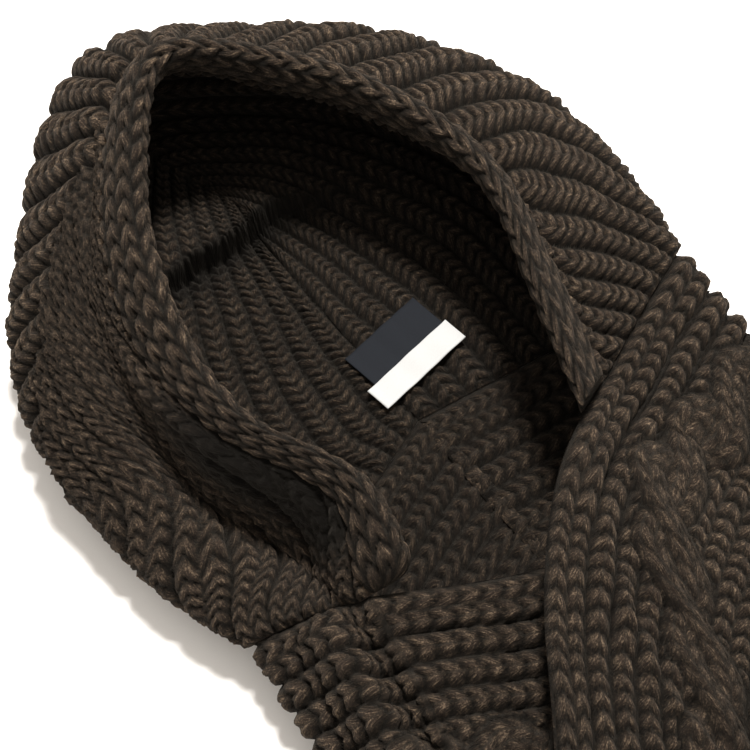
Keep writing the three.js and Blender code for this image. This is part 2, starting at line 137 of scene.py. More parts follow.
def alongColumn(values, share):  # a smooth curve through one column of a table
    last = len(values) - 1
    place = np.clip(share, 0, 1) * last
    i = np.minimum(place.astype(int), last - 1)
    t = place - i
    b, c = values[i], values[i + 1]
    slopeB = (c - values[np.maximum(i - 1, 0)]) / 2
    slopeC = (values[np.minimum(i + 2, last)] - b) / 2
    rise = b - c
    return b + t * (slopeB + t * (-3 * rise - 2 * slopeB - slopeC + t * (2 * rise + slopeB + slopeC)))


def hoodColumn(name, share):
    return alongColumn(hoodTable[:, hoodColumns.index(name)], share)


def tablePoint(table, columns, part, share, sizes):
    values = [alongColumn(table[:, columns.index(part + axis)], share) for axis in "XYZ"]
    return np.stack(values, -1) * np.array(sizes)


def hoodPoint(part, share):
    sizes = (hood["width"] / 2, hood["length"], hood["height"])
    return tablePoint(hoodTable, hoodColumns, part, share, sizes)


def bandFrame(share):  # middle, width axis and thickness axis of the face band's section
    middle = hoodPoint("edge", share)
    inward = unit((middle - hoodPoint("side", share)) * np.array([1, 1, 0]))
    lean = np.radians(hoodColumn("lean", share))[..., None]
    up = np.array([0, 0, 1])
    widthAxis = up * np.cos(lean) + inward * np.sin(lean)
    return middle, widthAxis, up * np.sin(lean) - inward * np.cos(lean)


def bandWidth(share):  # the lip is narrower along the wearer's right cheek
    section = share * (len(hoodTable) - 1)
    narrow = smoothstep(section, band["narrowFrom"], band["narrowFull"])
    narrow = narrow * (1 - smoothstep(section, band["narrowTo"], band["narrowEnd"]))
    return (band["width"] - band["narrowBy"] * narrow)[..., None]


def spacedAlong(line, shares):  # lines (rows, points, 3), resampled at shares of their length
    steps = np.linalg.norm(np.diff(line, axis=1), axis=2)
    length = np.concatenate([np.zeros((len(line), 1)), np.cumsum(steps, 1)], 1)
    out = np.empty((len(line), len(shares), 3))
    for row in range(len(line)):
        for axis in range(3):
            out[row, :, axis] = np.interp(shares * length[row, -1], length[row], line[row, :, axis])
    return out


def splineThrough(points, shares, fine=14):  # centripetal splines through (rows, points, 3)
    first = 2 * points[:, :1] - points[:, 1:2]
    last = 2 * points[:, -1:] - points[:, -2:-1]
    p = np.concatenate([first, points, last], 1)
    knots = np.maximum(np.linalg.norm(np.diff(p, axis=1), axis=2), 1e-4) ** 0.5
    u = (np.arange(fine) / fine)[None, :, None]
    pieces = []
    for k in range(points.shape[1] - 1):
        p0, p1, p2, p3 = (p[:, k + n][:, None] for n in range(4))
        d0, d1, d2 = (knots[:, k + n][:, None, None] for n in range(3))
        s1 = ((p1 - p0) / d0 - (p2 - p0) / (d0 + d1) + (p2 - p1) / d1) * d1
        s2 = ((p2 - p1) / d1 - (p3 - p1) / (d1 + d2) + (p3 - p2) / d2) * d1
        pieces.append(p1 + u * (s1 + u * (3 * (p2 - p1) - 2 * s1 - s2 + u * (2 * (p1 - p2) + s1 + s2))))
    return spacedAlong(np.concatenate(pieces + [points[:, -1:]], 1), shares)


def sectionShare(t):  # t runs evenly along the back seam, up one half and down the other
    seams = hoodTable[:, hoodColumns.index("seam")]
    places = np.arange(len(seams))
    height = 1 - np.abs(2 * t - 1)
    right = np.interp(height, seams[:crownSection + 1], places[:crownSection + 1])
    left = np.interp(height, seams[crownSection:][::-1], places[crownSection:][::-1])
    return np.where(t <= 0.5, right, left) / places[-1]


def hoodMiddle(t, across):  # middle surface of the hood's wall
    share = sectionShare(t)
    middle, widthAxis, _ = bandFrame(share)
    edge = middle + widthAxis * (band["width"] / 2 - bandWidth(share) - band["gap"])
    root = edge - widthAxis * hood["wall"]
    valley, side = hoodPoint("valley", share), hoodPoint("side", share)
    shoulder = (valley + side) / 2
    shoulder[:, 2] += hoodColumn("shoulder", share) * hood["height"]
    spine = np.zeros_like(side)
    spine[:, 1] = (1 - np.abs(2 * t - 1)) * hood["backSeam"]
    spine[:, 2] = hood["wall"] / 2
    foot = mix(side, spine, hood["footInset"])
    foot[:, 2] = hood["wall"] / 2
    floor = mix(foot, spine, hood["floorShare"])
    controls = np.stack([edge, root, valley, shoulder, side, foot, floor, spine], 1)
    return splineThrough(controls, across)


def gridNormals(grid):
    return unit(np.cross(np.gradient(grid, axis=0), np.gradient(grid, axis=1)))


def stitchField(points, ribs, pitch, rounds=700):
    # Numbers the stitches along the ribs: a field square to the ribs, fitted by least squares
    alongStep, acrossStep = np.gradient(points, axis=0), np.gradient(points, axis=1)
    e, f, g = ((a * b).sum(-1) for a, b in (
        (alongStep, alongStep), (alongStep, acrossStep), (acrossStep, acrossStep)))
    det = np.maximum(e * g - f * f, 1e-9)
    ribAlong, ribAcross = np.gradient(ribs, axis=0), np.gradient(ribs, axis=1)
    slope = ((g * ribAlong - f * ribAcross) / det)[..., None] * alongStep
    slope = slope + ((e * ribAcross - f * ribAlong) / det)[..., None] * acrossStep
    wanted = unit(np.cross(unit(np.cross(alongStep, acrossStep)), slope)) / pitch
    area = np.sqrt(det)
    sides = []
    for axis, step, size in ((0, alongStep, e), (1, acrossStep, g)):
        pair = [np.take(x, range(1, x.shape[axis]), axis) + np.take(x, range(x.shape[axis] - 1), axis)
                for x in ((wanted * step).sum(-1), size, area)]
        sides.append((axis, pair[0] / 2, pair[2] / np.maximum(pair[1], 1e-3)))

    def spread(flows):
        out = np.zeros_like(ribs)
        out[1:] += flows[0]
        out[:-1] -= flows[0]
        out[:, 1:] += flows[1]
        out[:, :-1] -= flows[1]
        return out

    def stiffness(field):
        return spread([np.diff(field, axis=axis) * weight for axis, _, weight in sides])

    diagonal = np.zeros_like(ribs)
    diagonal[1:] += sides[0][2]
    diagonal[:-1] += sides[0][2]
    diagonal[:, 1:] += sides[1][2]
    diagonal[:, :-1] += sides[1][2]
    field = np.zeros_like(ribs)
    left = spread([target * weight for _, target, weight in sides])
    search = left / diagonal
    energy = (left * search).sum()
    for _ in range(rounds):
        pushed = stiffness(search)
        step = energy / (search * pushed).sum()
        field += step * search
        left -= step * pushed
        if np.abs(left).max() < 1e-5:
            break
        eased = left / diagonal
        after = (left * eased).sum()
        search = eased + after / energy * search
        energy = after
    return field


def wander(a, b, size, count=10):  # a slow smooth noise of two fields, about -1 to 1
    total = np.zeros_like(a)
    for _ in range(count):
        angle, phase = draws.uniform(0, 2 * math.pi, 2)
        pace = draws.uniform(0.5, 1.5) * 2 * math.pi / size
        total += np.sin(pace * (a * math.cos(angle) + b * math.sin(angle)) + phase)
    return total / math.sqrt(count)


def scatter(a, b, salt):  # one even random number, 0 to 1, for each pair of whole numbers
    value = np.sin(a * 127.1 + b * 311.7 + salt * 74.7) * 43758.5453
    return value - np.floor(value)


knit = {
    "legSlope": 0.8, "legRise": 2.4, "legSharp": 0.6, "spineCut": 0.8, "spineWidth": 0.12,
    "ribFlat": 2.8, "ribRound": 0.75, "ribWander": 0.06, "stitchWander": 0.22, "loose": 0.8,
    "grooveLegs": 0.35, "fuzz": 0.4, "yarnLength": 10, "twist": 0.35,
    # ribShade, grooveShade, endShade and endSharp set painted shade: the colour darkens in the rib
    # grooves and in the gaps between stitch legs
    "ribShade": 0.3, "grooveShade": 0.6, "endShade": 0.95, "endSharp": 1.7,
}


def knitColumns(ribs, stitches, crest, groove, depth=1.0, slope=knit["legSlope"], steady=1.0, lump=1.0):
    # Height over the middle surface, strand coordinates and painted shade of columns of V stitches
    ribs = ribs + knit["ribWander"] * steady * wander(ribs, stitches / 1.5, 6)
    stitches = stitches + knit["stitchWander"] * steady * wander(stitches, ribs, 7)
    whole = np.floor(ribs)
    x = 2 * (ribs - whole) - 1
    phase = stitches + 0.5 * (whole % 2) + slope * np.abs(x)
    stitch = np.floor(phase)
    leg = phase - stitch
    rise = np.clip(4 * leg * (1 - leg), 0, 1) ** knit["legSharp"]
    crown = np.clip(1 - np.abs(x) ** knit["ribFlat"], 0, 1) ** knit["ribRound"]
    cut = knit["spineCut"] * np.exp(-(x / knit["spineWidth"]) ** 2)
    loose = knit["loose"] * (scatter(whole, stitch, 1.0 + (x > 0)) - 0.5)
    height = mix(crest, groove, (1 - crown) * depth)
    legs = knit["legRise"] * lump * (rise - 1) - cut + loose
    height = height + legs * mix(knit["grooveLegs"], 1, crown)
    height = height + knit["fuzz"] * wander(ribs * 6, stitches * 4, 2.2)
    yarn = np.abs(x) * knit["yarnLength"]
    across = phase * hood["stitchPitch"] * 0.7 + yarn * knit["twist"] * math.copysign(1, slope)
    strand = np.stack([across, yarn, whole * 3.7 + stitch * 1.3 + 20 * (x > 0)], -1)
    # painted shade: darker in the grooves between ribs and in the gaps between the legs of each stitch
    ribShade = 1 - (1 - crown) * (knit["ribShade"] + knit["grooveShade"] * np.clip(depth, 0, 1))
    return height, strand, ribShade * (1 - knit["endShade"] * (1 - rise ** knit["endSharp"]))


def sheetMesh(name, rows, strand, shade, material, wrap=False, zipped=False, weld=False, flip=False):
    # rows is a grid (along, across, 3) in millimetres; zipped joins both halves on the last column
    rows[..., 2] = np.maximum(rows[..., 2], 0)
    count, across = rows.shape[:2]
    index = np.arange(count * across).reshape(count, across)
    if zipped:
        index[count - np.arange(count // 2) - 1, -1] = index[:count // 2, -1]
    if wrap:
        index = np.concatenate([index, index[:1]])
    quads = np.stack([index[:-1, :-1], index[1:, :-1], index[1:, 1:], index[:-1, 1:]], -1).reshape(-1, 4)
    if flip:
        quads = quads[:, ::-1]
    used = np.unique(quads)
    order = np.zeros(count * across, int)
    order[used] = np.arange(len(used))
    points = ((rows + shift).reshape(-1, 3)[used] * toMetres).astype(np.float32)
    mesh = bpy.data.meshes.new(name)
    mesh.vertices.add(len(used))
    mesh.vertices.foreach_set("co", points.ravel())
    mesh.loops.add(quads.size)
    mesh.loops.foreach_set("vertex_index", order[quads].ravel().astype(np.int32))
    mesh.polygons.add(len(quads))
    mesh.polygons.foreach_set("loop_start", np.arange(0, quads.size, 4, dtype=np.int32))
    mesh.polygons.foreach_set("use_smooth", np.ones(len(quads), bool))
    mesh.update(calc_edges=True)
    own = mesh.attributes.new("strand", "FLOAT_VECTOR", "POINT")
    own.data.foreach_set("vector", strand.reshape(-1, 3)[used].astype(np.float32).ravel())
    own = mesh.attributes.new("shade", "FLOAT", "POINT")
    own.data.foreach_set("value", shade.reshape(-1)[used].astype(np.float32))
    mesh.materials.append(material)
    if weld:
        work = bmesh.new()
        work.from_mesh(mesh)
        bmesh.ops.remove_doubles(work, verts=work.verts, dist=1e-6)
        bmesh.ops.recalc_face_normals(work, faces=work.faces)
        work.to_mesh(mesh)
        work.free()
    piece = bpy.data.objects.new(name, mesh)
    bpy.context.scene.collection.objects.link(piece)
    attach(piece, "root")
    return piece


class Socket:  # one output, with arithmetic that adds Math nodes
    def __init__(self, maker, output):
        self.maker = maker
        self.output = output

    def combine(self, operation, a, b):
        return self.maker.node("ShaderNodeMath", {"operation": operation}, {0: a, 1: b})

    def __add__(self, other):
        return self.combine("ADD", self, other)

    __radd__ = __add__

    def __sub__(self, other):
        return self.combine("SUBTRACT", self, other)

    def __rsub__(self, other):
        return self.combine("SUBTRACT", other, self)

    def __mul__(self, other):
        return self.combine("MULTIPLY", self, other)

    __rmul__ = __mul__


class Maker:  # makes one material's nodes
    def __init__(self, name):
        self.material = bpy.data.materials.new(name)
        self.material.use_nodes = True
        self.tree = self.material.node_tree
        self.tree.nodes.clear()

    def node(self, kind, settings=None, inputs=None, output=0):
        made = self.tree.nodes.new(kind)
        for key, value in (settings or {}).items():
            if key == "stops":
                while len(made.color_ramp.elements) < len(value):
                    made.color_ramp.elements.new(0.5)
                for element, (place, colour) in zip(made.color_ramp.elements, value):
                    element.position = place
                    element.color = (*colour, 1)
            else:
                setattr(made, key, value)
        for key, value in (inputs or {}).items():
            if isinstance(value, Socket):
                self.tree.links.new(value.output, made.inputs[key])
            else:
                made.inputs[key].default_value = value
        return Socket(self, made.outputs[output]) if made.outputs else None

    def blend(self, share, a, b):  # a colour between two colours
        return self.node("ShaderNodeMix", {"data_type": "RGBA"}, {0: share, 6: a, 7: b}, output=2)

    def finish(self, shader):
        self.node("ShaderNodeOutputMaterial", None, {"Surface": shader})
        return self.material


def fromBytes(red, green, blue):  # a screen colour as linear light
    shares = (value / 255 for value in (red, green, blue))
    return tuple(c / 12.92 if c < 0.04 else ((c + 0.055) / 1.055) ** 2.4 for c in shares)


wool = {
    # deep is the colour that painted shade darkens the yarn towards
    "deep": fromBytes(4, 3, 2), "dark": fromBytes(30, 24, 20), "main": fromBytes(50, 41, 34),
    "light": fromBytes(116, 99, 81), "fibreAcross": 1.4, "fibreAlong": 0.3,
    "twistAcross": 0.45, "twistAlong": 0.12, "fuzz": 0.05, "fuzzTint": (0.75, 0.66, 0.55, 1),
}


def woolMaterial(name):
    maker = Maker(name)
    strand = maker.node("ShaderNodeAttribute", {"attribute_name": "strand"}, output="Vector")
    shade = maker.node("ShaderNodeAttribute", {"attribute_name": "shade"}, output="Fac")
    fibreSpace = maker.node("ShaderNodeVectorMath", {"operation": "MULTIPLY"}, {
        0: strand, 1: (wool["fibreAcross"], wool["fibreAlong"], 1)})
    twistSpace = maker.node("ShaderNodeVectorMath", {"operation": "MULTIPLY"}, {
        0: strand, 1: (wool["twistAcross"], wool["twistAlong"], 1)})
    place = maker.node("ShaderNodeTexCoord", output="Object")
    fibres = maker.node("ShaderNodeTexNoise", None, {
        "Vector": fibreSpace, "Scale": 1.0, "Detail": 2.0, "Roughness": 0.65, "Distortion": 0.5})
    twist = maker.node("ShaderNodeTexNoise", None, {
        "Vector": twistSpace, "Scale": 1.0, "Detail": 2.0})
    blotch = maker.node("ShaderNodeTexNoise", None, {
        "Vector": place, "Scale": 45.0, "Detail": 2.0})
    hair = maker.node("ShaderNodeTexNoise", None, {
        "Vector": place, "Scale": 1100.0, "Detail": 3.0, "Distortion": 0.8})
    tone = fibres * 0.8 + twist * 0.15 + blotch * 0.1 + hair * 0.65 - 0.37
    colour = maker.node("ShaderNodeValToRGB", {"stops": [
        (0.3, wool["dark"]), (0.5, wool["main"]), (0.74, wool["light"])]}, {"Fac": tone})
    # painted shade: the shade attribute, squared, darkens the yarn's colour towards deep
    shadedColour = maker.blend(shade * shade, (*wool["deep"], 1), colour)
    bump = maker.node("ShaderNodeBump", None, {
        "Strength": 1.0, "Distance": 0.0013, "Height": fibres * 0.8 + twist * 0.3 + hair * 0.3})
    shader = maker.node("ShaderNodeBsdfPrincipled", None, {
        "Base Color": shadedColour, "Roughness": 0.95, "Specular IOR Level": 0.08, "Normal": bump,
        "Sheen Weight": wool["fuzz"], "Sheen Roughness": 0.6, "Sheen Tint": wool["fuzzTint"]})
    return maker.finish(shader)


def labelMaterial(name, colour, thread):
    maker = Maker(name)
    place = maker.node("ShaderNodeTexCoord", output="Object")
    weave = maker.node("ShaderNodeTexNoise", None, {"Vector": place, "Scale": 2500.0, "Detail": 1.0})
    tone = maker.blend(weave, (*colour, 1), (*thread, 1))
    bump = maker.node("ShaderNodeBump", None, {"Strength": 0.3, "Distance": 0.0002, "Height": weave})
    shader = maker.node("ShaderNodeBsdfPrincipled", None, {
        "Base Color": tone, "Roughness": 0.85, "Specular IOR Level": 0.2, "Normal": bump})
    return maker.finish(shader)


hoodWool = woolMaterial("hood_wool")
bandWool = woolMaterial("band_wool")
snoodWool = woolMaterial("snood_wool")
blackWoven = labelMaterial("black_woven", fromBytes(13, 15, 19), fromBytes(26, 29, 35))
whiteWoven = labelMaterial("white_woven", fromBytes(170, 170, 169), fromBytes(186, 186, 185))
print("materials made")


def hoodRibs(t, across):  # rib numbers of the outside: of the crown's ribs and the upright ones
    share = sectionShare(t)
    sideAt, crownEdge, crownSide, uprightEdge, uprightSide = (
        alongColumn(column, share)[:, None] for column in ribTable.T)
    out = across / sideAt
    return crownEdge + (crownSide - crownEdge) * out, uprightEdge + (uprightSide - uprightEdge) * out


def coarseHood(side):  # a coarse grid outside (1) or inside (-1) the wall, to number stitches on
    t = np.linspace(0, 1, hood["coarseAlong"])
    across = np.linspace(0, 1, hood["coarseAcross"])
    points = hoodMiddle(t, across)
    return t, across, points + side * gridNormals(points) * hood["coarseOffset"]


def hoodFields():
    t, across, points = coarseHood(1)
    return [stitchField(points, ribs, hood["stitchPitch"]) for ribs in hoodRibs(t, across)]


def atShares(field, t, across):  # a field on even shares, read at others
    columns = np.interp(across, np.linspace(0, 1, field.shape[1]), np.arange(field.shape[1]))
    j = np.minimum(columns.astype(int), field.shape[1] - 2)
    wide = field[:, j] * (1 - (columns - j)) + field[:, j + 1] * (columns - j)
    rows = t * (field.shape[0] - 1)
    i = np.minimum(rows.astype(int), field.shape[0] - 2)
    part = (rows - i)[:, None]
    return wide[i] * (1 - part) + wide[i + 1] * part


def restsOn(points):  # how much relief the outside keeps over the surface that it lies on
    lowest = hood["wall"] / 2
    return smoothstep(points[..., 2], lowest + hood["restsFrom"], lowest + hood["restsTo"])


def neckRound(t):  # the wall thins towards its sewn neck edges
    return mix(hood["neckThin"], 1, smoothstep(np.minimum(t, 1 - t), 0, hood["neckThinShare"]))


def rimmed(t, middle, rows, strand, shade):
    # Both faces of the wall end on its middle surface: at the neck edges and inside the band
    tongue = (middle[:, 0] + bandFrame(sectionShare(t))[1] * hood["underBand"])[:, None]
    rows = np.concatenate([tongue, rows], 1)
    middle = np.concatenate([tongue, middle], 1)
    firstEdge = middle[:1] + unit(middle[:1] - middle[2:3]) * hood["inSeam"]
    lastEdge = middle[-1:] + unit(middle[-1:] - middle[-3:-2]) * hood["inSeam"]
    rows = np.concatenate([firstEdge, rows, lastEdge])
    strand, shade = (np.concatenate([x[:, :1], x], 1) for x in (strand, shade))
    strand, shade = (np.concatenate([x[:1], x, x[-1:]]) for x in (strand, shade))
    return rows, strand, shade


def makeHoodOutside():
    t = np.linspace(0, 1, hood["rowsAlong"] + 1)
    across = np.concatenate([
        np.linspace(0, hood["denseShare"], hood["denseAcross"]),
        np.linspace(hood["denseShare"], 1, hood["plainAcross"])[1:]])
    middle = hoodMiddle(t, across)
    normals = gridNormals(middle)
    normals[:, -1] = (0, 0, -1)
    fields = [atShares(field, t, across) for field in hoodFields()]
    crownRibs, uprightRibs = hoodRibs(t, across)
    crown = knitColumns(crownRibs, fields[0], hood["outsideCrest"], hood["outsideGroove"])
    section = (sectionShare(t) * (len(hoodTable) - 1))[:, None]
    out = np.minimum(across / alongColumn(ribTable[:, 0], sectionShare(t))[:, None], 1.4)
    paired = np.where(np.rint(2 * uprightRibs) % 2 > 0.5, hood["pairDepth"], 1)  # two columns a rib
    paired = paired * (1 - hood["pairEase"] * smoothstep(section, *hood["pairEaseAt"]))
    upright = knitColumns(
        2 * uprightRibs, fields[1], hood["outsideCrest"], hood["outsideGroove"], paired)
    scallop = hood["scallop"] * (np.abs(np.sin(math.pi * uprightRibs)) - 0.5)
    past = mix(hood["creaseAtBand"], hood["creaseAtSide"], out) + scallop - section
    stands = past > 0
    lift = hood["creaseLift"] * np.exp(-np.maximum(past, 0) / hood["creaseFade"])
    height = np.where(stands, upright[0] + lift, crown[0])
    strand = np.where(stands[..., None], upright[1], crown[1])
    # painted shade on the crown's ribs just past the crease, under the standing ribs
    creaseShade = 1 - hood["creaseShade"] * np.exp(past / hood["creaseShadeFade"])
    shade = np.where(stands, upright[2], crown[2] * creaseShade)
    # painted shade: the colour of the pocket under the lip is darkened nearly to deep
    pocket = smoothstep(section, *hood["pocketFrom"]) * (1 - smoothstep(section, *hood["pocketTo"]))
    shade = shade * (1 - hood["pocketShade"] * pocket * (1 - smoothstep(out, *hood["pocketOut"])))
    height = mix(hood["wall"] / 2, height, restsOn(middle)) * neckRound(t)[:, None]
    rows = middle + normals * height[..., None]
    rows, strand, shade = rimmed(t, middle, rows, strand, shade)
    return sheetMesh("hood_outside", rows, strand, shade, hoodWool, zipped=True)


def tuckRise(points):
    past = points[..., 1] - hood["backSeam"]
    past = past + hood["tuckWander"] * wander(points[..., 0], points[..., 1], 60, 4)
    front = smoothstep(past, -hood["tuckFront"], 0)
    back = 1 - smoothstep(past, 0, hood["tuckDepth"])
    side = 1 - smoothstep(points[..., 0], 0, hood["tuckReach"])
    wall = 1 - smoothstep(points[..., 2], hood["wall"], hood["height"] / 4)
    # painted shade: a dark band in the colour just in front of the fold's edge
    gap = smoothstep(past, -hood["tuckFront"] * hood["gapWidth"], -hood["tuckFront"])
    gap = gap * (1 - smoothstep(past, *hood["gapBack"]))
    return hood["tuckRise"] * front * back * side * wall, gap * side * wall


def makeHoodInside():
    t = np.linspace(0, 1, hood["rowsAlong"] + 1)
    across = np.linspace(0, 1, hood["insideAcross"])
    middle = hoodMiddle(t, across)
    normals = gridNormals(middle)
    normals[:, -1] = (0, 0, -1)
    _, coarseAcross, coarse = coarseHood(-1)
    coarseRibs = hood["columns"] * coarseAcross[None, :] + 0 * coarse[..., 0]
    stitches = atShares(stitchField(coarse, coarseRibs, hood["stitchPitch"]), t, across)
    ribs = hood["columns"] * across[None, :] + 0 * stitches
    height, strand, shade = knitColumns(ribs, stitches, hood["insideCrest"], hood["insideGroove"])
    rise, gap = tuckRise(middle)
    height = height + rise
    # painted shade in the gap in front of the fold, and over the whole inside face
    shade = shade * (1 - hood["gapShade"] * gap) * hood["insideShade"]
    rows = middle - normals * (height * neckRound(t)[:, None])[..., None]
    rows, strand, shade = rimmed(t, middle, rows, strand, shade)
    half = len(rows) // 2 + 1
    halves = (("hood_inside_right", slice(0, half)), ("hood_inside_left", slice(half - 1, None)))
    return [sheetMesh(name, rows[part], strand[part], shade[part], hoodWool, flip=True)
            for name, part in halves]


hoodPieces = [makeHoodOutside(), *makeHoodInside()]
for piece in hoodPieces:
    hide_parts("hood_shell")
print("hood made")


def makeBand():
    t = np.linspace(0, 1, hood["rowsAlong"] + 1)
    share = sectionShare(t)
    middle, widthAxis, thicknessAxis = bandFrame(share)
    angle = np.linspace(0, 2 * math.pi, band["around"] + 1)[:-1]
    squared = band["squared"]
    fullness = (np.abs(np.cos(angle)) ** squared + np.abs(np.sin(angle)) ** squared) ** (-1 / squared)
    wide = np.cos(angle) * fullness * band["width"] / 2
    thick = np.sin(angle) * fullness * band["thickness"] / 2
    walk = np.cumsum(np.hypot(wide - np.roll(wide, 1), thick - np.roll(thick, 1)))
    walk = (walk - walk[0]) / (walk[-1] - walk[0] + np.hypot(wide[0] - wide[-1], thick[0] - thick[-1]))
    length = np.concatenate([[0], np.cumsum(np.linalg.norm(np.diff(middle, axis=0), axis=1))])
    fromEnd = np.clip(length / band["endRound"], 0, 1)  # the other end goes in under the snood
    full = np.sqrt(1 - (1 - fromEnd) ** 2)[:, None]
    widths = bandWidth(share) * (0.5 + 0.5 * full)
    middle = middle + widthAxis * (band["width"] / 2 - bandWidth(share) + widths / 2)
    rows = (middle[:, None] + widthAxis[:, None] * (widths / band["width"] * wide)[..., None]
            + thicknessAxis[:, None] * (full * thick)[..., None])
    outward = unit(widthAxis[:, None] * (wide / band["width"] ** 2)[None, :, None]
                   + thicknessAxis[:, None] * (thick / band["thickness"] ** 2)[None, :, None])
    ribs = band["columns"] * walk[None, :] + 0.5 + 0 * rows[..., 0]
    stitches = length[:, None] / band["stitchPitch"] + 0 * ribs
    height, strand, shade = knitColumns(ribs, stitches, band["crest"], band["groove"], 1.0,
                                        band["slope"], band["steady"], band["lump"])
    rows = rows + outward * (height * full)[..., None]
    ends = [np.repeat(rows[k].mean(0)[None, None], rows.shape[1], 1) for k in (0, -1)]
    rows = np.concatenate([ends[0], rows, ends[1]])
    strand = np.concatenate([strand[:1], strand, strand[-1:]])
    shade = np.concatenate([shade[:1], shade, shade[-1:]])
    rows, strand, shade = (np.concatenate([x, x[:, :1]], 1) for x in (rows, strand, shade))
    return sheetMesh("band_knit", rows, strand, shade, bandWool, weld=True)


bandPiece = makeBand()
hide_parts("face_band")
print("band made")


snood = {
    # the same driving sizes as the solid has
    "height": 180, "wall": 6, "slackSteps": 18, "reach": 0.22, "hemLerp": 0.35,
    "neckLength": 560, "slackLength": 330,
    # where each column of stitches ends, in millimetres from the neck seam, and its groove's depth
    "ends": (0, 10.5, 21, 34.6, 48.2, 61.8, 74, 86, 98, 110, 123.6, 137.2, 150.8, 164.4, 181),
    "depths": (1, 0.3, 1, 1, 1, 1, 0.3, 0.3, 0.3, 1, 1, 1, 1, 1, 1),
    "stitchPitch": 8.7, "lump": 1.7, "hemReach": 3, "neckEase": 10, "neckThinTo": 4, "walkAt": 0.35,
    # the rope cable, whose middle is at these millimetres from the neck seam, round the loop
    "cable": ((0, 86), (0.5, 70), (0.6, 54), (0.645, 46), (0.68, 62), (0.73, 92), (0.8, 86), (1, 86)),
    "strandWave": 74, "strandSwing": 10, "strandHalf": 12, "strandRise": 6.5, "strandCross": 1.6,
    "strandGroove": -0.9, "strandDepth": 0.6, "strandLump": 0.5, "strandBase": 1.2,
    # painted shade on the cable's strands, darkest along their edges
    "strandShade": 0.3, "strandEdgeShade": 0.05, "strandFloor": -2,
    # the fold of the front by the wearer's left, and the deep grooves of the shoulder
    "fold": ((0.64, 5), (0.65, 10.9), (0.682, 23.6), (0.71, 38.2), (0.735, 58.2), (0.75, 83.6),
             (0.77, 115)),
    "foldFrom": (0.63, 0.66), "foldTo": (0.75, 0.8), "foldRise": 4.5, "foldWidth": 7,
    "valleyCut": 3, "valleyWidth": 14, "valleySharp": 1.6,
    "shoulderFrom": (0.5, 0.54), "shoulderTo": (0.62, 0.65), "shoulderDepth": 1.7,
    # the meshes of both faces
    "around": 720,
    "outside": {"side": 1, "down": 134, "crest": 5.8, "groove": -0.4, "slope": -0.45},
    "inside": {"side": -1, "down": 100, "crest": 4.8, "groove": 0.4, "slope": 0.7},
}

# Place along the neck seam, then the hem as shares, and the lift of the middle
sewnColumns = "place hemX hemY hemZ bulge".split()
sewnTable = np.array([
    (0, -.77, -1.4, .24, .06),
    (.12, -.95, -1.33, .22, .04),
    (.22, -1.03, -1.25, .14, .02),
    (.3, -.92, -1.19, .03, 0),
    (.4, -.5, -1.12, .03, 0),
    (.5, 0, -1.07, .03, 0),
    (.6, .45, -1.08, .03, 0),
    (.7, .71, -1.1, .03, 0),
    (.78, .82, -1.13, .15, .02),
    (.88, .8, -1.22, .32, .06),
    (1, .64, -1.33, .37, .05),
])

# Free neck edge, hem and lift of the pleated slack, from the wearer's left to the right
slackColumns = "neckX neckY neckZ hemX hemY hemZ bulge".split()
slackTable = np.array([
    (.14, -.44, .73, .5, -1.38, .37, .03),
    (-.05, -.57, .76, .37, -1.44, .37, 0),
    (-.23, -.74, .76, .24, -1.53, .38, 0),
    (-.4, -.95, .72, .09, -1.66, .38, 0),
    (-.53, -1.11, .64, -.05, -1.79, .32, 0),
    (-.42, -.97, .56, -.12, -1.74, .25, 0),
    (-.12, -.8, .59, -.2, -1.66, .23, 0),
    (.13, -.69, .53, -.27, -1.6, .17, 0),
    (.02, -.65, .46, -.36, -1.55, .11, 0),
    (-.22, -.57, .5, -.55, -1.48, .14, .03),
])


def snoodSection(neck, onward, hem, bulge, shares):
    reach = np.linalg.norm(hem - neck, axis=1)[:, None] * snood["reach"]
    lift = bulge * hood["height"]
    first = neck + onward * reach
    first[:, 2] = np.maximum(first[:, 2] + lift, snood["wall"] / 2)
    second = mix(hem, neck, snood["hemLerp"])
    second[:, 2] += lift
    u = np.linspace(0, 1, 60)[None, :, None]
    line = ((1 - u) ** 3 * neck[:, None] + 3 * u * (1 - u) ** 2 * first[:, None]
            + 3 * u * u * (1 - u) * second[:, None] + u ** 3 * hem[:, None])
    return spacedAlong(line, shares)


def sewnStart(place):  # neck edge, its onward direction and its normal, at places along the seam
    right = place <= 0.5
    across = np.where(right, 2 * place, 2 * (1 - place))
    step = 1 / hood["solidRows"]
    columnStep = 1 / (2 * hood["columns"])
    out = []
    for offset in (0, -columnStep, columnStep):
        where = np.clip(across + offset, 0, 1)
        order = np.argsort(where)
        edges = hoodMiddle(np.array([0, step, 1 - step, 1]), where[order])
        back = np.empty_like(order)
        back[order] = np.arange(len(order))
        out.append(edges[:, back])
    pick = right[:, None]
    point = np.where(pick, out[0][0], out[0][3])
    beside = np.where(pick, out[0][1], out[0][2])
    along = unit(np.where(pick, out[2][0] - out[1][0], out[2][3] - out[1][3]))
    onward = point - beside
    onward = unit(onward - along * (onward * along).sum(1)[:, None])
    normal = unit(np.cross(np.where(pick, -onward, onward), along))
    return point + onward * band["gap"], onward, normal


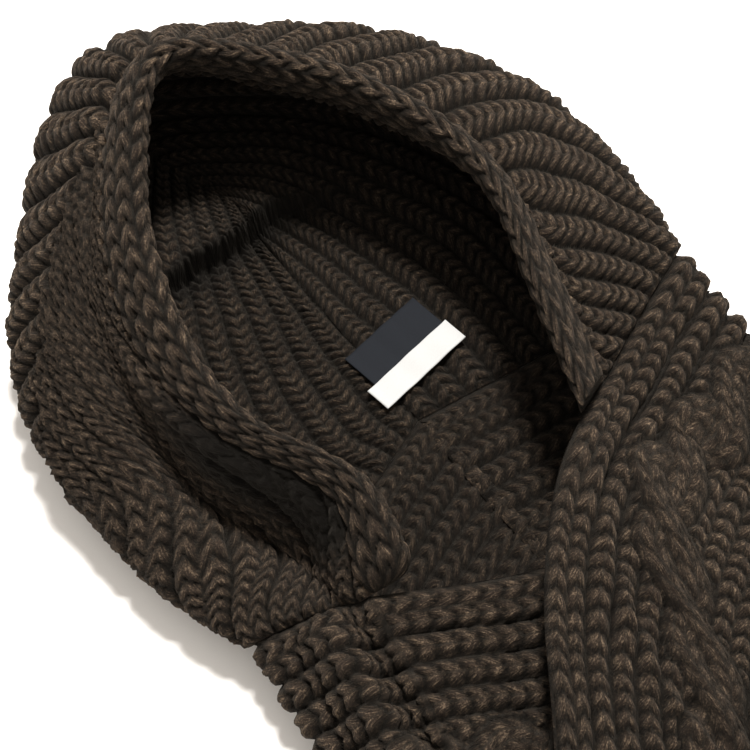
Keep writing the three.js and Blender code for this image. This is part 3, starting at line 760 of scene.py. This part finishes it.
def snoodMiddle(aroundCount, shares):
    sizes = (hood["width"] / 2, snood["height"], hood["height"])
    ends, endOnward, _ = sewnStart(np.array([1.0, 0.0]))
    sewnCount = int(aroundCount * snood["neckLength"] / (snood["neckLength"] + snood["slackLength"]))
    place = np.linspace(0, 1, sewnCount)
    neck, onward, normal = sewnStart(place)
    share = np.interp(place, sewnTable[:, 0], np.linspace(0, 1, len(sewnTable)))
    hem = tablePoint(sewnTable, sewnColumns, "hem", share, sizes)
    bulge = alongColumn(sewnTable[:, sewnColumns.index("bulge")], share)
    sewn = snoodSection(neck, onward, hem, bulge, shares)
    table = np.concatenate([[np.r_[ends[0] / sizes, sewnTable[-1, 1:]]], slackTable,
                            [np.r_[ends[1] / sizes, sewnTable[0, 1:]]]])
    q = np.linspace(0, 1, aroundCount - sewnCount + 2)[1:-1]
    neckSlack = tablePoint(table, slackColumns, "neck", q, sizes)
    hemSlack = tablePoint(table, slackColumns, "hem", q, sizes)
    steps = snood["slackSteps"]
    nearEnd = np.clip(1 - np.minimum(q, 1 - q) * steps / 3, 0, 1)[:, None]
    edgeOnward = np.where((q < 0.5)[:, None], endOnward[0], endOnward[1])
    onwardSlack = unit(mix(unit(hemSlack - neckSlack), edgeOnward, nearEnd))
    bulge = alongColumn(table[:, slackColumns.index("bulge")], q)
    slack = snoodSection(neckSlack, onwardSlack, hemSlack, bulge, shares)
    noNormal = np.zeros_like(onwardSlack)
    return (np.concatenate([sewn, slack]), np.concatenate([onward, onwardSlack]),
            np.concatenate([normal, noNormal]))


def loopNormals(grid):
    along = np.roll(grid, -1, 0) - np.roll(grid, 1, 0)
    return unit(np.cross(along, np.gradient(grid, axis=1)))


def pathAt(name, around):  # millimetres from the neck seam, round the loop
    path = np.array(snood[name])
    return np.interp(around, path[:, 0], path[:, 1])


def snoodRelief(down, stitches, around, face):
    ends = np.array(snood["ends"])
    ribs = np.interp(down, ends, np.arange(len(ends)))
    depth = np.array(snood["depths"])[np.clip(np.rint(ribs).astype(int), 0, len(ends) - 1)]
    shoulder = smoothstep(around, *snood["shoulderFrom"])
    shoulder = shoulder * (1 - smoothstep(around, *snood["shoulderTo"]))
    depth = depth * mix(1, snood["shoulderDepth"], shoulder)
    return knitColumns(
        ribs, stitches, face["crest"], face["groove"], depth, face["slope"], lump=snood["lump"])


def foldRelief(down, around):
    past = down - pathAt("fold", around)
    ridge = snood["foldRise"] * np.exp(-(np.minimum(past, 0) / snood["foldWidth"]) ** 2)
    valley = np.exp(-(np.maximum(past, 0) / snood["foldWidth"]) ** 2) * snood["foldRise"]
    valley = valley - snood["valleyCut"] * np.exp(
        -((past - snood["valleyWidth"]) / snood["valleyWidth"] * snood["valleySharp"]) ** 2)
    near = smoothstep(around, *snood["foldFrom"]) * (1 - smoothstep(around, *snood["foldTo"]))
    return np.where(past > 0, valley, ridge) * near


noStrand = -9.0  # the height where no strand of the cable lies


def cableRelief(down, walk, around):
    middle = pathAt("cable", around)
    best = np.full_like(down, noStrand)
    column, bulge = np.zeros_like(down), np.zeros_like(down)
    for strandNumber in range(2):
        turn = 2 * math.pi * walk / snood["strandWave"] + math.pi * strandNumber
        offset = (down - middle - snood["strandSwing"] * np.sin(turn)) / snood["strandHalf"]
        roundness = np.sqrt(np.clip(1 - offset ** 2, 0, 1))
        rise = snood["strandRise"] * roundness + snood["strandCross"] * np.cos(turn)
        rise = np.where(np.abs(offset) < 1, rise, noStrand)
        column = np.where(rise > best, offset + 10 * strandNumber, column)
        bulge = np.where(rise > best, roundness, bulge)
        best = np.maximum(best, rise)
    return best, column, bulge


def makeSnood(name, face):
    side = face["side"]
    shares = np.linspace(0, 1, face["down"])
    grid, onward, edgeNormal = snoodMiddle(snood["around"], shares)
    normals = loopNormals(grid)
    depthAt = shares[None, :] * snood["height"] + 0 * grid[..., 0]
    known = (np.linalg.norm(edgeNormal, axis=1) > 0.5)[:, None, None]
    nearNeck = (1 - smoothstep(depthAt, 0, snood["neckEase"]))[..., None] * known
    normals = unit(mix(normals, edgeNormal[:, None], nearNeck))
    loop = np.concatenate([grid, grid[:1]])
    middleLine = loop[:, int(face["down"] * snood["walkAt"])]
    walk = np.concatenate([[0], np.cumsum(np.linalg.norm(np.diff(middleLine, axis=0), axis=1))])
    total = np.round(walk[-1] / snood["stitchPitch"])
    walk = walk / walk[-1]
    stitches = walk[:-1, None] * total + 0 * depthAt
    distance = walk[:-1, None] * total * snood["stitchPitch"] + 0 * depthAt
    around = np.arange(len(grid))[:, None] / len(grid) + 0 * depthAt
    height, strand, shade = snoodRelief(depthAt, stitches, around, face)
    if side > 0:
        rise, column, bulge = cableRelief(depthAt, distance, around)
        cable = knitColumns(column, stitches, 0, snood["strandGroove"], snood["strandDepth"],
                            face["slope"], lump=snood["strandLump"])
        onCable = rise > snood["strandFloor"]
        raised = rise + face["groove"] + snood["strandBase"] + cable[0]
        height = np.where(onCable, np.maximum(raised, height * 0.5), height)
        strand = np.where(onCable[..., None], cable[1], strand)
        # painted shade on the cable: in the stitches of each strand, and darkest at its edges
        strandShade = mix(snood["strandShade"], 1, cable[2]) * mix(snood["strandEdgeShade"], 1, bulge)
        shade = np.where(onCable, strandShade, shade)
        height = height + foldRelief(depthAt, around)
        height = mix(snood["wall"] / 2, height, restsOn(grid))
    thin = mix(hood["neckThin"], 1, smoothstep(depthAt, 0, snood["neckThinTo"]))
    rows = grid + side * normals * (height * thin)[..., None]
    tongue = (grid[:, 0] - onward * hood["inSeam"])[:, None]
    hemEdge = (grid[:, -1] + unit(grid[:, -1] - grid[:, -3]) * snood["hemReach"])[:, None]
    rows = np.concatenate([tongue, rows, hemEdge], 1)
    strand = np.concatenate([strand[:, :1], strand, strand[:, -1:]], 1)
    shade = np.concatenate([shade[:, :1], shade, shade[:, -1:]], 1)
    # the inside face runs the other way, and its colour gets painted shade all over
    if side < 0:
        rows, strand, shade = rows[:, ::-1], strand[:, ::-1], shade[:, ::-1] * hood["insideShade"]
    return sheetMesh(name, rows, strand, shade, snoodWool, wrap=True)


snoodOutside = makeSnood("snood_outside", snood["outside"])
snoodInside = makeSnood("snood_inside", snood["inside"])
for piece in (snoodOutside, snoodInside):
    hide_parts("snood")
print("snood made")


def makeLabel(node, material):
    size = labels[node]
    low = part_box(node)[0]
    u, v = np.meshgrid(np.linspace(-0.5, 0.5, labels["stepsAlong"]),
                       np.linspace(-0.5, 0.5, labels["stepsAcross"]), indexing="ij")
    turn = math.radians(labels["turn"])
    x, y = u * size["length"], v * size["width"]
    wave = labels["wave"] * (np.sin(u * 9 + v * 2) + np.sin(u * 23 + 1.3))
    top = low.z / toMetres + size["thickness"] + labels["clear"] + wave
    place = np.stack([labels["offset"] + x * math.cos(turn) - y * math.sin(turn),
                      size["setback"] + x * math.sin(turn) + y * math.cos(turn), top], -1)
    lower = place - np.array([0, 0, size["thickness"]])
    # top face, then the rim and the underside, as one closed strip across the width
    rows = np.concatenate([place, lower[:, ::-1], place[:, :1]], 1)
    ends = [np.repeat(rows[k].mean(0)[None, None], rows.shape[1], 1) for k in (0, -1)]
    rows = np.concatenate([ends[0], rows, ends[1]])
    name = node.replace("_label", "_woven_label")
    return sheetMesh(name, rows, rows.copy(), np.ones(rows.shape[:2]), material, weld=True)


for node, material, slot in (
        ("main_label", blackWoven, "black_woven"), ("name_label", whiteWoven, "white_woven")):
    piece = makeLabel(node, material)
    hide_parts(node)
print("labels made")


studio = {
    "azimuth": -38, "elevation": 63, "distance": 1100, "target": (0, 34, 0), "pixelsPerMm": 2.0,
    "frame": 750, "sensor": 36, "floorHalf": 3, "floorColour": (0.95, 0.925, 0.895, 1),
    "worldStrength": 0.85, "worldColour": (1, 0.95, 0.89, 1),
    "keyBack": 1.0, "keyAcross": 0.1, "keyUp": 2.7, "keyDistance": 2.4, "keySize": 0.4,
    "keyPower": 110, "keyColour": (1.0, 0.98, 0.95),
}


def makeStudio():
    scene = bpy.context.scene
    azimuth, elevation = math.radians(studio["azimuth"]), math.radians(studio["elevation"])
    across = Vector((math.cos(azimuth), math.sin(azimuth), 0))
    back = Vector((math.sin(azimuth) * math.cos(elevation), -math.cos(azimuth) * math.cos(elevation),
                   math.sin(elevation)))
    camera = bpy.data.objects.new("camera", bpy.data.cameras.new("camera"))
    target = Vector([(a + b) * toMetres for a, b in zip(studio["target"], shift)])
    camera.location = target + back * studio["distance"] * toMetres
    camera.rotation_mode = "QUATERNION"
    camera.rotation_quaternion = (-back).to_track_quat("-Z", "Y")
    camera.data.sensor_width = studio["sensor"]
    camera.data.lens = studio["sensor"] * studio["distance"] * studio["pixelsPerMm"] / studio["frame"]
    scene.collection.objects.link(camera)
    scene.camera = camera

    half = studio["floorHalf"]
    floorMesh = bpy.data.meshes.new("floor")
    floorMesh.from_pydata(
        [(-half, -half, 0), (half, -half, 0), (half, half, 0), (-half, half, 0)], [], [(0, 1, 2, 3)])
    floor = bpy.data.objects.new("floor", floorMesh)
    maker = Maker("pale_floor")
    floorMesh.materials.append(maker.finish(maker.node("ShaderNodeBsdfPrincipled", None, {
        "Base Color": studio["floorColour"], "Roughness": 0.9})))
    scene.collection.objects.link(floor)

    world = bpy.data.worlds.new("studio")
    world.use_nodes = True
    background = world.node_tree.nodes["Background"]
    background.inputs["Strength"].default_value = studio["worldStrength"]
    background.inputs["Color"].default_value = studio["worldColour"]
    scene.world = world

    up = back.cross(across).normalized()
    flat = Vector((up.x, up.y, 0)).normalized()
    direction = flat * studio["keyBack"] + across * studio["keyAcross"] + Vector((0, 0, studio["keyUp"]))
    lamp = bpy.data.lights.new("key", "AREA")
    lamp.size = studio["keySize"]
    lamp.energy = studio["keyPower"]
    lamp.color = studio["keyColour"]
    light = bpy.data.objects.new("key", lamp)
    light.location = target + direction.normalized() * studio["keyDistance"]
    light.rotation_mode = "QUATERNION"
    light.rotation_quaternion = (-direction).to_track_quat("-Z", "Y")
    scene.collection.objects.link(light)
    scene.view_settings.view_transform = "Standard"


makeStudio()
print("studio made")
